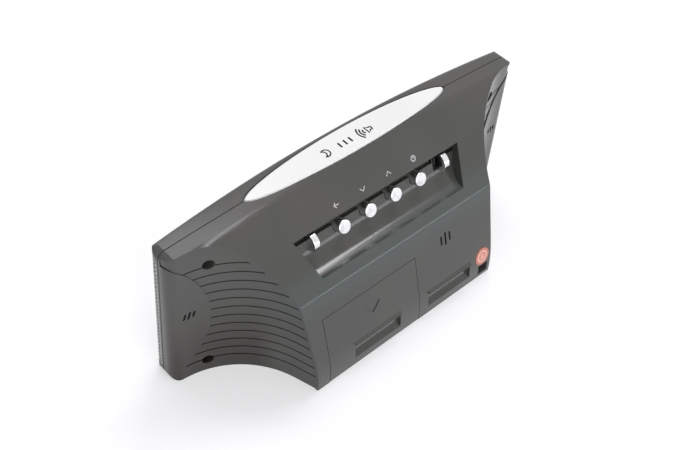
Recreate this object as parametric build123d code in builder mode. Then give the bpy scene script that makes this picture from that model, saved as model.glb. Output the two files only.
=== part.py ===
from build123d import *
import os
from math import atan, cos, radians, sin, sqrt, tan

os.makedirs("parts", exist_ok=True)

# A table clock that speaks the time. Sizes are in millimetres. The front faces -Y, the back +Y and
# the clock stands on Z = 0. Depths are counted from the plane where the two halves of the casing meet.

# Whole casing
width = 200.0
end_height = 77.1  # top corners, above the table
crown = 3.3  # rise of the top from its corners to its middle
corner_round = 3.5  # corners seen from the front
back_depth = 49.0  # meeting plane to the back, at the table
wall = 2.0
cut_over = 5.0  # how far a cutting shape runs past what it cuts
seam_gap = 0.25  # open seam round a removable cover
slip = 0.1  # clearance round a piece set in its seat
bore_clearance = 0.05  # pilot hole round a screw

# Front half
front_depth = 9.9  # meeting plane to the middle of the front face
front_bow = 3.9  # how far the front face falls back by the ends
front_corner_round = 4.5  # ends seen from above
front_edge_round = 2.5
seam_groove_depth = 0.3
seam_groove_width = 0.4

# Rear half, seen from the side
slope_angle = 49.0  # the long slope, below level
shoulder_depth = 10.1  # where the slope starts
shoulder_drop = 0.1  # its start below the top corners
shoulder_round_middle = 2.5
shoulder_round_end = 11.0
shoulder_lift = 0.3  # how far the ends of the rounding cut stand clear of the surfaces
lean_angle = 18.0  # the back above its curve, from upright
back_curve_height = 17.4  # the back is a curve up to here
fold_round = 5.0

# Rear half, seen from above
wing_thickness = 8.2
wing_end_round = 5.0
flank_radius = 41.8
flank_start_inset = 1.7  # centre of the flank's curve, in from the end
flank_exit_angle = 17.3  # the straight run to the box corner, off the depth direction
flank_draft = 1.5

# Grooved flanks
hood_lip = 1.3  # edge of the slope that stands over the flank
flank_recess = 0.4
groove_count = 12
groove_first = 7.4
groove_pitch = 5.27
groove_width = 0.65
groove_depth = 0.45
panel_radius = 41.6  # the smooth wing end is bounded by this circle
panel_reach = 17.85  # how far the circle reaches in from the end
panel_height = 37.6

# Key channel in the slope; distances run down the slope from its start
channel_top = 15.5
channel_bottom = 35.0
channel_top_half = 48.5
channel_bottom_half = 42.4
channel_step = 3.0  # depth under the top edge
channel_dip = 16.0  # the floor is this much steeper than the slope
channel_flat = 7.5  # flat length of the floor before it curves out
channel_wall = 1.6
channel_under = 2.8  # floor to the underside of its liner
slit_width = 3.2
slit_depth = 2.0

# Keys and slide switches on the channel floor; distances run down the floor
key_row = 4.8
key_pitch = 15.1
key_radius = 3.2
key_height = 4.4
key_edge_round = 0.5
key_travel = 0.8
key_clearance = 0.15
rest_gap = 0.08  # a flange to the floor over it, a knob to the floor under it
key_flange_radius = 3.9
key_flange = 0.9
key_stem_radius = 1.5
key_names = ("back_button", "down_button", "up_button", "set_button")
slide_place = 38.6
slide_travel = 3.0
slide_width = 3.0
slide_length = 7.8
slide_row = 4.2  # middle of a knob
slide_height = 5.0  # in its middle
slide_end_height = 3.2  # at its ends
slide_round = 0.35
slide_stem_width = 2.6
slide_stem_length = 5.0
slide_flange_width = 5.0
slide_flange_length = 6.8
slide_peg_width = 1.2
slide_peg_length = 2.4
slide_peg_bite = 0.8  # peg into its switch
board_drop = 9.6  # channel floor to the key board

# Snooze bar
bar_half_length = 57.3
bar_half_width = 7.0
bar_rise = 0.9  # above the casing, in the middle
bar_thickness = 3.2
bar_edge_round = 0.6
bar_travel = 1.2
bar_gap = 0.45
bar_flange_reach = 1.5  # flange at the tips that keeps the bar in
bar_flange = 1.0
bar_flange_width = 11.2
bar_rest_gap = 0.08  # flange to the casing above it
plunger_place = 30.0
plunger_depth = 4.2
plunger_radius = 1.6

# Battery door, bay and cells
door_left = -6.6
door_right = 47.8
door_top = 34.9
door_bottom = 0.4
door_thickness = 1.85  # a little less than the wall, so that it stays clear of its rim
bay_rim = 1.5
bay_rim_reach = 1.5  # rim past the door's edge
bay_wall = 1.5
bay_length = 49.0
bay_floor = 28.9
bay_bottom = 1.6
bay_top = 33.8
cell_depth = 34.5
cell_diameter = 10.5
cell_length = 44.5
cell_nub_radius = 2.75
cell_edge_round = 0.5
cell_nub = 1.0
cell_pitch = 10.7
cell_count = 3
plate_thickness = 0.4
plate_width = 8.0
contact_gap = 0.05
spring_radius = 3.2
spring_tip_radius = 2.2
spring_wire = 0.5
wire_sides = 8
spring_turns = 3
tab_width = 5.0
tab_thickness = 1.0
tab_reach = 2.4
tab_gap = 0.15
tab_heights = (10.0, 24.0)
arrow_width = 8.0
arrow_height = 4.0
arrow_stroke = 1.0
arrow_depth = 0.35
arrow_place = 27.0

# Finger grips: one in the door, one in the fixed half beside it
grip_width = 27.8
grip_top = 13.0
grip_bottom = 4.9
grip_depth = 2.8
grip_step = 1.5  # upright back of the hollow
ridge_height = 1.4
ridge_out = 1.1
grip_wall = 1.3
door_grip_place = 19.2
fixed_grip_place = -26.5

# Vents
vent_width = 1.1
vent_pitch = 2.7
vent_short = 4.6
vent_long = 6.6
vent_place = -26.2
vent_height = 34.6
wing_vent_pitch = 2.1
wing_vent_short = 3.4
wing_vent_long = 4.4
wing_vent_place = 91.4
wing_vent_height = 40.4
wing_vent_slant = 15.0

# Casing screws
screw_low_place = 84.0
screw_high_place = 82.5
screw_low = 6.9
screw_high = 66.6
screw_head_radius = 2.3
screw_head = 1.7
screw_radius = 1.4
screw_hole_radius = 2.5
screw_boss_radius = 3.9
screw_web = 2.0  # casing left under the head
screw_reach = 4.4  # shank past the meeting plane
screw_slot = 0.7
front_boss_radius = 3.0

# Power socket
socket_place = -49.8
socket_width = 6.2
socket_height = 5.4
socket_low = 1.9
socket_sink = 1.2
socket_length = 13.0
socket_bore_radius = 1.8
socket_bore_depth = 9.5
socket_wall = 1.2
pin_radius = 0.65
pin_length = 8.3

# Display
window_half = 74.0
window_low = 12.0
window_high = 66.0
window_round = 3.0
lens_thickness = 1.0
lens_sink = 0.1
lens_ledge = 1.6
frame_back = 0.7  # back of the display frame, behind the meeting plane
frame_wall = 2.0
frame_lip = 0.6
frame_view_margin = 3.0
display_middle = 39.0
glass_width = 132.0
glass_height = 54.0
glass_thickness = 2.2
backlight_thickness = 3.0
digit_height = 34.0
digit_width = 18.0
digit_stroke = 4.0
digit_gap = 0.5
digit_thickness = 0.15
digit_pitch = 25.0
colon_gap = 8.0

# Boards
board_thickness = 1.2
board_half = 75.6
board_low = 14.0
board_high = 62.0
board_post_radius = 2.4
board_post_place = 72.6
board_post_low = 18.0
board_post_high = 58.0
board_screw_radius = 0.9
board_screw_head_radius = 1.8
board_screw_head = 1.1
board_screw_bite = 4.0
chip_size = 12.0
chip_thickness = 1.6
chip_place = 18.0
chip_lead = 0.3
chip_lead_pitch = 1.6
chip_lead_width = 0.5
chip_lead_reach = 1.8
chip_leads = 7
crystal_radius = 1.3
crystal_length = 8.0
key_board_half = 45.0
key_board_up = 2.0
key_board_down = 12.0
key_post_place = 30.0
key_post_radius = 1.9
switch_size = 6.0
switch_height = 3.4
switch_plunger_radius = 1.7
switch_plunger = 1.0
switch_spare = 0.05  # plunger clearance left when a key is fully down
slide_body_length = 8.6
slide_body_width = 4.4
slide_body_height = 3.6
slide_trough = 1.6
snooze_board_half = 36.0
snooze_board_front = 0.9
snooze_board_depth = 12.6
snooze_board_top = 66.4
snooze_post_place = 20.0
snooze_post_depth = 11.0

# Speaker and its grilles
speaker_place = 87.5
speaker_width = 18.0
speaker_height = 38.0
speaker_front = 2.6  # ahead of the meeting plane
speaker_rim = 1.2
speaker_rim_width = 1.6
basket_depth = 3.0
basket_taper = 20.0
basket_wall = 0.8
cone_thickness = 0.4
cone_cap_radius = 3.6
magnet_radius = 5.5
magnet_height = 2.2
speaker_collar = 1.4
grille_thickness = 0.6
grille_inner = 80.0
grille_low = 4.5
grille_high = 71.5
grille_edge = 0.8  # casing left beside the meeting plane
grille_pitch = 3.4
grille_hole = 1.9
grille_rows = 19
grille_first_column = 82.4
grille_front_columns = 4
grille_corner_columns = 2
sound_opening_width = 13.0
sound_opening_height = 31.0

# Round sticker
sticker_radius = 4.4
sticker_thickness = 0.2
sticker_place = -48.8
sticker_height = 12.6

# Worked out from the sizes above
half_width = width / 2
total_height = end_height + crown
shoulder_height = end_height - shoulder_drop
crown_radius = (half_width**2 + crown**2) / (2 * crown)
bow_radius = (half_width**2 + front_bow**2) / (2 * front_bow)
flank_centre_x = half_width - flank_start_inset
flank_centre_y = wing_thickness + flank_radius
back_curve_radius = back_curve_height / sin(radians(lean_angle))
floor_angle = slope_angle + channel_dip
deep = back_depth + cut_over
parting_y = (front_depth - back_depth) / 2

# Planes through the meeting plane of the two halves: seen from above, from the side and from the front
plan = Plane(origin=(0, parting_y, 0), x_dir=(1, 0, 0), z_dir=(0, 0, 1))
side = Plane(origin=(0, parting_y, 0), x_dir=(0, 1, 0), z_dir=(1, 0, 0))
front = Plane(origin=(0, parting_y, 0), x_dir=(1, 0, 0), z_dir=(0, -1, 0))


def top_at(x):
    # Height of the crowned top
    return total_height - crown_radius + sqrt(crown_radius**2 - x**2)


def front_at(x, inset):
    # Y of the bowed front face, or of a surface inset behind it
    return bow_radius - front_depth - sqrt((bow_radius - inset) ** 2 - x**2)


def back_at(z):
    # Y of the leaning back: a curve that ends upright at the table, and a straight lean above it
    if z <= back_curve_height:
        return back_depth - back_curve_radius + sqrt(back_curve_radius**2 - z**2)
    curve_end = back_depth - back_curve_radius * (1 - cos(radians(lean_angle)))
    return curve_end - (z - back_curve_height) * tan(radians(lean_angle))


def tilted(depth, height, angle):
    # A plane across the clock that falls towards the back at angle; its y runs downhill
    normal = (0, sin(radians(angle)), cos(radians(angle)))
    return Plane(origin=(0, parting_y + depth, height), x_dir=(1, 0, 0), z_dir=normal)


def run_down(start, angle, down, out):
    # Depth and height of a point that lies down a slope from start and out of it
    depth = start[0] + down * cos(radians(angle)) + out * sin(radians(angle))
    height = start[1] - down * sin(radians(angle)) + out * cos(radians(angle))
    return (depth, height)


def on_slope(down, out):
    return run_down((shoulder_depth, shoulder_height), slope_angle, down, out)


channel_start = on_slope(channel_top, -channel_step)


def on_floor(down, out):
    return run_down(channel_start, floor_angle, down, out)


slope_plane = tilted(shoulder_depth, shoulder_height, slope_angle)
channel_plane = tilted(*channel_start, floor_angle)

# The fold is where the line of the slope meets the line of the leaning back
slope_fall = tan(radians(slope_angle))
lean_fall = 1 / tan(radians(lean_angle))
curve_end_depth = back_at(back_curve_height)
slope_crossing = shoulder_height + slope_fall * shoulder_depth
lean_crossing = back_curve_height + lean_fall * curve_end_depth
fold_depth = (lean_crossing - slope_crossing) / (lean_fall - slope_fall)
fold_height = slope_crossing - slope_fall * fold_depth


def front_outline(half, floor, inset):
    # The casing seen from the front, drawn in by inset
    with BuildSketch() as outline:
        with BuildLine():
            Line((-half, floor), (half, floor))
            Line((half, floor), (half, end_height))
            ThreePointArc((half, end_height), (0, total_height), (-half, end_height))
            Line((-half, end_height), (-half, floor))
        make_face()
        fillet(vertices(), radius=corner_round)
        if inset > 0:
            offset(amount=-inset, kind=Kind.INTERSECTION)
    return outline.sketch


def rear_envelope(inset, floor, lead, half):
    # The rear half before its flanks are taken away; lead is how far it runs past the meeting plane
    high = shoulder_height + slope_fall * (shoulder_depth + lead)
    outline = front_outline(half, floor, inset)
    with BuildPart() as envelope:
        with BuildSketch(side):
            with BuildLine():
                Line((-lead, floor), (back_depth, floor))
                if floor < 0:
                    Line((back_depth, floor), (back_depth, 0))
                ThreePointArc(
                    (back_depth, 0),
                    (back_at(back_curve_height / 2), back_curve_height / 2),
                    (curve_end_depth, back_curve_height),
                )
                Line((curve_end_depth, back_curve_height), (fold_depth, fold_height))
                Line((fold_depth, fold_height), (-lead, high))
                Line((-lead, high), (-lead, floor))
            make_face()
            fillet(vertices().sort_by_distance((fold_depth, fold_height, 0))[0], radius=fold_round)
            if inset > 0:
                offset(amount=-inset, kind=Kind.INTERSECTION)
        extrude(amount=half, both=True)
        with BuildSketch(front.offset(lead)):
            add(outline)
        extrude(amount=-(deep + lead), mode=Mode.INTERSECT)
    return envelope.part


def bite_outline(extra, height):
    # Space beside the box on the +X side: round of the wing end, flank curve, straight run to the back
    radius = flank_radius + extra + height * tan(radians(flank_draft))
    end_x = half_width - extra
    end_y = flank_centre_y - sqrt(radius**2 - (end_x - flank_centre_x) ** 2)
    end_angle = 270 + (end_x - flank_centre_x) / radius / radians(1)
    low_y = end_y - wing_end_round
    exit_run = (deep - flank_centre_y + radius * sin(radians(flank_exit_angle))) / cos(radians(flank_exit_angle))
    far_x = half_width + cut_over
    with BuildSketch() as outline:
        with BuildLine():
            flank = CenterArc(
                (flank_centre_x, flank_centre_y), radius, end_angle, 180 + flank_exit_angle - end_angle
            )
            exit_line = PolarLine(flank @ 1, exit_run, 90 + flank_exit_angle)
            Polyline(exit_line @ 1, (far_x, deep), (far_x, low_y), (end_x, low_y), flank @ 0)
        make_face()
        corner = vertices().sort_by_distance((end_x, end_y, 0))[0]
        fillet(corner, radius=wing_end_round - extra)
    return outline.sketch


def flank_bites(extra):
    # Both spaces beside the box, enlarged by extra into the casing, with the flank's draft
    ends = [(height, bite_outline(extra, height)) for height in (-cut_over, total_height + cut_over)]
    with BuildPart() as bites:
        for height, outline in ends:
            with BuildSketch(plan.offset(height)):
                add(outline)
        loft(ruled=True)
        mirror(about=Plane.YZ)
    return bites.part


def shoulder_rounding():
    # What is taken off the long edge between top and slope: little in the middle, much at the ends
    far = half_width + cut_over
    with BuildPart() as rounding:
        for x in (-far, 0, far):
            radius = shoulder_round_middle if x == 0 else shoulder_round_end
            corner_z = top_at(x)
            corner_y = shoulder_depth - (corner_z - shoulder_height) / slope_fall
            reach = radius * tan(radians(slope_angle / 2))
            start = (corner_y - reach, corner_z + shoulder_lift)
            slope_y = corner_y + reach * cos(radians(slope_angle))
            slope_z = corner_z - reach * sin(radians(slope_angle))
            end_y = slope_y + shoulder_lift * sin(radians(slope_angle))
            end_z = slope_z + shoulder_lift * cos(radians(slope_angle))
            middle_y = corner_y - reach + radius * sin(radians(slope_angle / 2))
            middle_z = corner_z - radius * (1 - cos(radians(slope_angle / 2)))
            with BuildSketch(side.offset(x)):
                with BuildLine():
                    ThreePointArc(start, (middle_y, middle_z), (end_y, end_z))
                    Polyline((end_y, end_z), (end_y, corner_z + cut_over), (start[0], corner_z + cut_over), start)
                make_face()
        loft()
    return rounding.part


def front_block(inset, lead):
    # Front half as a plain block, drawn in by inset; lead is how far it runs past the meeting plane
    outline = front_outline(half_width, 0, inset)
    end_x = half_width - inset
    end_y = front_at(end_x, inset)
    with BuildPart() as block:
        with BuildSketch(plan):
            with BuildLine():
                Polyline((end_x, end_y), (end_x, lead), (-end_x, lead), (-end_x, end_y))
                ThreePointArc((-end_x, end_y), (0, inset - front_depth), (end_x, end_y))
            make_face()
            fillet(vertices().group_by(Axis.Y)[0], radius=front_corner_round - inset)
        extrude(amount=total_height + cut_over)
        with BuildSketch(front.offset(-lead)):
            add(outline)
        extrude(amount=lead + front_depth + cut_over, mode=Mode.INTERSECT)
    return block.part


def front_rounding(rise):
    # What is taken off the long front edges; rise is 1 for the top edge and -1 for the bottom one
    far = half_width + cut_over
    with BuildPart() as rounding:
        for x in (-far, 0, far):
            edge_y = front_at(x, 0)
            edge_z = top_at(x) if rise > 0 else 0
            start = (edge_y - cut_over, edge_z - rise * front_edge_round)
            face_end = (edge_y, edge_z - rise * front_edge_round)
            bend = front_edge_round * (1 - sin(radians(45)))
            top_end = (edge_y + front_edge_round, edge_z)
            over_end = (edge_y + front_edge_round, edge_z + rise * cut_over)
            with BuildSketch(side.offset(x)):
                with BuildLine():
                    Line(start, face_end)
                    ThreePointArc(face_end, (edge_y + bend, edge_z - rise * bend), top_end)
                    Polyline(top_end, over_end, (edge_y - cut_over, edge_z + rise * cut_over), start)
                make_face()
        loft()
    return rounding.part


def window_block(shrink):
    # The display window seen from the front, run right through the front half
    with BuildPart() as block:
        with BuildSketch(front):
            with Locations((0, (window_low + window_high) / 2)):
                RectangleRounded(
                    2 * (window_half - shrink),
                    window_high - window_low - 2 * shrink,
                    window_round - min(shrink, window_round / 2),
                )
        extrude(amount=front_depth + cut_over)
    return block.part


def grip_shapes(place):
    # A finger grip on the back: the wall round its pocket, the hollow itself and the ridge over it
    top_y = back_at(grip_top)
    ridge_top = grip_top + ridge_height
    middle = (grip_top + grip_bottom) / 2
    with BuildPart() as pocket:
        with BuildSketch(front.offset(grip_depth + grip_wall - top_y)):
            with Locations((place, middle)):
                Rectangle(grip_width + 2 * grip_wall, grip_top - grip_bottom + 2 * grip_wall)
        extrude(amount=-(grip_depth + grip_wall + cut_over))
        add(rear_block, mode=Mode.INTERSECT)
    with BuildPart() as hollow:
        with BuildSketch(side.offset(place)):
            with BuildLine():
                back_wall = Line((top_y - grip_depth, grip_top), (top_y - grip_depth, grip_top - grip_step))
                ramp = TangentArc(back_wall @ 1, (back_at(grip_bottom), grip_bottom), tangent=(0, -1))
                Polyline(ramp @ 1, (deep, grip_bottom), (deep, grip_top), back_wall @ 0)
            make_face()
        extrude(amount=grip_width / 2, both=True)
    with BuildPart() as ridge:
        with BuildSketch(side.offset(place)):
            with BuildLine():
                Polyline(
                    (back_at(ridge_top), ridge_top),
                    (top_y + ridge_out, grip_top),
                    (top_y - wall / 2, grip_top),
                    (back_at(ridge_top) - wall / 2, ridge_top),
                    close=True,
                )
            make_face()
        extrude(amount=grip_width / 2, both=True)
    return pocket.part, hollow.part, ridge.part


def channel_run(section, grow):
    # A section of the key channel run across the clock between its slanted ends, widened by grow
    flare = (channel_top_half - channel_bottom_half) / (channel_bottom - channel_top)
    high_half = channel_top_half + grow + flare * cut_over
    low_half = channel_bottom_half + grow - flare * cut_over
    high = channel_top - cut_over
    low = channel_bottom + cut_over
    with BuildPart() as run:
        with BuildSketch(side):
            add(section)
        extrude(amount=high_half, both=True)
        with BuildSketch(slope_plane):
            with BuildLine():
                Polyline((-high_half, high), (high_half, high), (low_half, low), (-low_half, low), close=True)
            make_face()
        extrude(amount=deep, both=True, mode=Mode.INTERSECT)
    return run.part


# Plain solids that the pieces are cut from
rear_block = rear_envelope(0, 0, 0, half_width)
rear_inside = rear_envelope(wall, 0, wall + cut_over, half_width)
under_hood = rear_envelope(hood_lip, -cut_over, 0, half_width + cut_over)
under_door = rear_envelope(wall, -cut_over, wall, half_width)
under_rim = rear_envelope(wall + bay_rim, -cut_over, wall + bay_rim, half_width)
door_inside = rear_envelope(door_thickness, -cut_over, door_thickness, half_width)
bites = flank_bites(0)
inner_bites = flank_bites(wall)
recess_bites = flank_bites(flank_recess)
edge_cut = shoulder_rounding()
groove_heights = [groove_first + step * groove_pitch for step in range(groove_count)]
groove_outlines = [(height, bite_outline(flank_recess + groove_depth, height)) for height in groove_heights]

with BuildPart() as rear_outer:
    add(rear_block)
    add(edge_cut, mode=Mode.SUBTRACT)
    add(bites, mode=Mode.SUBTRACT)

with BuildPart() as rear_cavity:
    add(rear_inside)
    add(inner_bites, mode=Mode.SUBTRACT)

# Shallow recess of each flank with its grooves, kept off the smooth wing end and the hood's edge
with BuildPart() as flank_relief:
    add(recess_bites)
    for height, outline in groove_outlines:
        with BuildSketch(plan.offset(height)):
            add(outline)
            mirror(about=Plane.YZ)
        extrude(amount=groove_width)
    add(under_hood, mode=Mode.INTERSECT)
    with BuildSketch(front.offset(cut_over)):
        panel_x = half_width - panel_reach + panel_radius
        with Locations((panel_x, panel_height), (-panel_x, panel_height)):
            Circle(panel_radius)
    extrude(amount=-(deep + cut_over), mode=Mode.SUBTRACT)

# Sections of the key channel and of the liner that closes it off inside
down_floor = (cos(radians(floor_angle)), -sin(radians(floor_angle)))
with BuildSketch() as channel_section:
    with BuildLine():
        Polyline(
            on_slope(channel_bottom, cut_over),
            on_slope(channel_top, cut_over),
            on_floor(0, 0),
            on_floor(0, -slit_depth),
            on_floor(slit_width, -slit_depth),
            on_floor(slit_width, 0),
            on_floor(channel_flat, 0),
        )
        TangentArc(on_floor(channel_flat, 0), on_slope(channel_bottom, 0), tangent=down_floor)
        Line(on_slope(channel_bottom, 0), on_slope(channel_bottom, cut_over))
    make_face()

with BuildSketch() as liner_section:
    with BuildLine():
        liner_low = channel_bottom + channel_wall
        Polyline(
            on_slope(liner_low, cut_over),
            on_slope(channel_top - channel_wall, cut_over),
            on_floor(-channel_wall, -channel_under),
            on_floor(channel_flat, -channel_under),
        )
        TangentArc(on_floor(channel_flat, -channel_under), on_slope(liner_low, 0), tangent=down_floor)
        Line(on_slope(liner_low, 0), on_slope(liner_low, cut_over))
    make_face()

channel_space = channel_run(channel_section.sketch, 0)
channel_liner = channel_run(liner_section.sketch, channel_wall)
door_grip_wall, door_grip_hollow, door_grip_ridge = grip_shapes(door_grip_place)
fixed_grip_wall, fixed_grip_hollow, fixed_grip_ridge = grip_shapes(fixed_grip_place)

# Places that several pieces share
key_places = [(key_pitch * (1.5 - step), key_row) for step in range(len(key_names))]
key_posts = [(-key_post_place, key_row), (0, key_row), (key_post_place, key_row)]
snooze_posts = [(-snooze_post_place, snooze_post_depth), (snooze_post_place, snooze_post_depth)]
board_posts = [
    (x, z) for x in (-board_post_place, board_post_place) for z in (board_post_low, board_post_high)
]
screw_spots = [
    (hand * x, z) for hand in (-1, 1) for x, z in ((screw_low_place, screw_low), (screw_high_place, screw_high))
]
door_middle = (door_left + door_right) / 2
door_width = door_right - door_left
bay_middle = (bay_bottom + bay_top) / 2
socket_middle = socket_low + socket_height / 2
socket_face = back_at(socket_middle) - socket_sink

with BuildPart() as bay_rim_plate:
    with BuildSketch(front):
        with Locations((door_middle, (door_top + bay_rim_reach) / 2)):
            Rectangle(door_width + 2 * bay_rim_reach, door_top + bay_rim_reach)
    extrude(amount=-deep)
    add(under_door, mode=Mode.INTERSECT)
    add(under_rim, mode=Mode.SUBTRACT)

# Everything that stands inside the rear half, trimmed to its outside
with BuildPart() as rear_ribs:
    add(channel_liner)
    with BuildSketch(front):
        with Locations(*screw_spots):
            Circle(screw_boss_radius)
    extrude(amount=-(wing_thickness + cut_over))
    with BuildSketch(plan.offset(snooze_board_top)):
        with Locations(*snooze_posts):
            Circle(key_post_radius)
    extrude(amount=total_height - snooze_board_top)
    with BuildSketch(front.offset(bay_wall - bay_floor)):
        with Locations((door_middle, bay_middle)):
            Rectangle(bay_length + 2 * bay_wall, bay_top - bay_bottom + 2 * bay_wall)
    extrude(amount=bay_floor - bay_wall - deep)
    with BuildSketch(front.offset(socket_length + socket_wall + slip - socket_face)):
        with Locations((socket_place, socket_middle)):
            Rectangle(socket_width + 2 * socket_wall, socket_height + 2 * socket_wall)
    extrude(amount=-(socket_length + cut_over))
    add(fixed_grip_wall)
    add(rear_outer.part, mode=Mode.INTERSECT)
    add(bay_rim_plate.part)

with BuildPart() as door_opening:
    with BuildSketch(front):
        with Locations((door_middle, (door_top + seam_gap - cut_over) / 2)):
            Rectangle(door_width + 2 * seam_gap, door_top + seam_gap + cut_over)
    extrude(amount=-deep)
    add(under_door, mode=Mode.SUBTRACT)

with BuildPart() as snooze_opening:
    with BuildSketch(plan.offset(snooze_board_top)):
        Ellipse(bar_half_length + bar_gap, bar_half_width + bar_gap)
    extrude(amount=total_height - snooze_board_top + cut_over)

with BuildPart() as seam_groove:
    with BuildSketch(front):
        Rectangle(2 * width, 2 * width)
        add(front_outline(half_width, 0, seam_groove_depth), mode=Mode.SUBTRACT)
    extrude(amount=-seam_groove_width)

# Rear half of the casing
with BuildPart() as rear_housing:
    add(rear_outer.part)
    add(rear_cavity.part, mode=Mode.SUBTRACT)
    add(rear_ribs.part)
    with BuildSketch(channel_plane.offset(-board_drop)):
        with Locations(*key_posts):
            Circle(key_post_radius)
    extrude(amount=board_drop - channel_under)
    add(flank_relief.part, mode=Mode.SUBTRACT)
    add(seam_groove.part, mode=Mode.SUBTRACT)
    add(channel_space, mode=Mode.SUBTRACT)
    add(snooze_opening.part, mode=Mode.SUBTRACT)
    add(door_opening.part, mode=Mode.SUBTRACT)
    add(fixed_grip_hollow, mode=Mode.SUBTRACT)
    add(fixed_grip_ridge)
    # Holes for the keys and slots for the slide switches, through the channel floor
    with BuildSketch(channel_plane):
        with Locations(*key_places):
            Circle(key_radius + key_clearance)
        slot_middle = slide_place - slide_travel / 2
        with Locations((slot_middle, key_row), (-slot_middle, key_row)):
            Rectangle(slide_stem_width + slide_travel + 2 * key_clearance, slide_stem_length + 2 * key_clearance)
    extrude(amount=-(channel_under + slip), mode=Mode.SUBTRACT)
    # Pilot holes in the posts of both boards
    with BuildSketch(channel_plane.offset(-board_drop)):
        with Locations(*key_posts):
            Circle(board_screw_radius + bore_clearance)
    extrude(amount=board_screw_bite + slip, mode=Mode.SUBTRACT)
    with BuildSketch(plan.offset(snooze_board_top)):
        with Locations(*snooze_posts):
            Circle(board_screw_radius + bore_clearance)
    extrude(amount=board_screw_bite + slip, mode=Mode.SUBTRACT)
    # Battery bay and power socket
    with BuildSketch(front.offset(-bay_floor)):
        with Locations((door_middle, bay_middle)):
            Rectangle(bay_length, bay_top - bay_bottom)
    extrude(amount=bay_floor - deep, mode=Mode.SUBTRACT)
    with BuildSketch(front.offset(socket_length + slip - socket_face)):
        with Locations((socket_place, socket_middle)):
            Rectangle(socket_width, socket_height)
    extrude(amount=-(socket_length + cut_over), mode=Mode.SUBTRACT)
    # Deep holes over the casing screws, and the holes of their shanks
    with BuildSketch(front.offset(-screw_web)):
        with Locations(*screw_spots):
            Circle(screw_hole_radius)
    extrude(amount=-(wing_thickness + cut_over), mode=Mode.SUBTRACT)
    with BuildSketch(front):
        with Locations(*screw_spots):
            Circle(screw_radius + slip)
    extrude(amount=-screw_web, mode=Mode.SUBTRACT)
    # Vents in the back and in both wings
    with BuildSketch(front.offset(2 * wall - back_at(vent_height))):
        for step, length in ((-1, vent_short), (0, vent_long), (1, vent_short)):
            with Locations((vent_place + step * vent_pitch, vent_height)):
                SlotOverall(length, vent_width, rotation=90)
    extrude(amount=-deep, mode=Mode.SUBTRACT)
    with BuildSketch(front.offset(-wing_thickness / 2)):
        for step, length in ((-1, wing_vent_short), (0, wing_vent_long), (1, wing_vent_short)):
            with Locations((wing_vent_place + step * wing_vent_pitch, wing_vent_height)):
                SlotOverall(length, vent_width, rotation=90 + wing_vent_slant)
        mirror(about=Plane.YZ)
    extrude(amount=-(wing_thickness + cut_over), mode=Mode.SUBTRACT)
rear_housing.part.label = "rear_housing"
export_step(rear_housing.part, "parts/rear_housing.step")

# Battery door with its grip, tabs and a plain arrow
with BuildPart() as door_tabs:
    for height in tab_heights:
        tab_end = back_at(height + tab_width / 2) - wall - tab_reach
        with BuildSketch(plan.offset(height - tab_width / 2)):
            tab_x = bay_length / 2 - tab_gap - tab_thickness / 2
            with Locations((door_middle - tab_x, (tab_end + deep) / 2), (door_middle + tab_x, (tab_end + deep) / 2)):
                Rectangle(tab_thickness, deep - tab_end)
        extrude(amount=tab_width)
    add(rear_block, mode=Mode.INTERSECT)

with BuildPart() as battery_door:
    with BuildSketch(front):
        with Locations((door_middle, (door_bottom + door_top) / 2)):
            Rectangle(door_width, door_top - door_bottom)
    extrude(amount=-deep)
    add(rear_block, mode=Mode.INTERSECT)
    add(door_inside, mode=Mode.SUBTRACT)
    add(door_tabs.part)
    add(door_grip_wall)
    add(door_grip_hollow, mode=Mode.SUBTRACT)
    add(door_grip_ridge)
    with BuildSketch(tilted(curve_end_depth, back_curve_height, 90 - lean_angle)):
        arrow_y = -(arrow_place - back_curve_height) / cos(radians(lean_angle))
        with BuildLine():
            Polyline(
                (door_middle - arrow_width / 2, arrow_y),
                (door_middle, arrow_y + arrow_height),
                (door_middle + arrow_width / 2, arrow_y),
            )
        trace(line_width=arrow_stroke)
    extrude(amount=-arrow_depth, mode=Mode.SUBTRACT)
battery_door.part.label = "battery_door"
export_step(battery_door.part, "parts/battery_door.step")

# Front half of the casing: bowed face, recess for the display window and one for each grille
front_outer_block = front_block(0, 0)
front_under_grille = front_block(grille_thickness, grille_thickness)
front_inside = front_block(wall, wall + cut_over)
front_under_lens = front_block(lens_sink + lens_thickness, wall)
top_edge_cut = front_rounding(1)
bottom_edge_cut = front_rounding(-1)
window_opening = window_block(0)
window_sight = window_block(lens_ledge)

with BuildPart() as front_outer:
    add(front_outer_block)
    add(top_edge_cut, mode=Mode.SUBTRACT)
    add(bottom_edge_cut, mode=Mode.SUBTRACT)

with BuildPart() as grille_zone:
    with BuildSketch(front.offset(grille_edge)):
        grille_outer_x = half_width + cut_over
        with Locations(
            ((grille_inner + grille_outer_x) / 2, (grille_low + grille_high) / 2),
            (-(grille_inner + grille_outer_x) / 2, (grille_low + grille_high) / 2),
        ):
            Rectangle(grille_outer_x - grille_inner, grille_high - grille_low)
    extrude(amount=front_depth + cut_over)
    add(front_under_grille, mode=Mode.SUBTRACT)

with BuildPart() as front_ribs:
    with BuildSketch(front):
        with Locations(*screw_spots):
            Circle(front_boss_radius)
    extrude(amount=front_depth)
    with BuildSketch(front.offset(-frame_back)):
        with Locations(*board_posts):
            Circle(board_post_radius)
    extrude(amount=front_depth + frame_back)
    with BuildSketch(front.offset(speaker_front + slip)):
        with Locations((speaker_place, display_middle)):
            SlotOverall(speaker_height, speaker_width, rotation=90)
            SlotOverall(
                speaker_height - 2 * speaker_collar,
                speaker_width - 2 * speaker_collar,
                rotation=90,
                mode=Mode.SUBTRACT,
            )
    extrude(amount=front_depth)
    add(front_block(wall / 2, cut_over), mode=Mode.INTERSECT)

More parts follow.
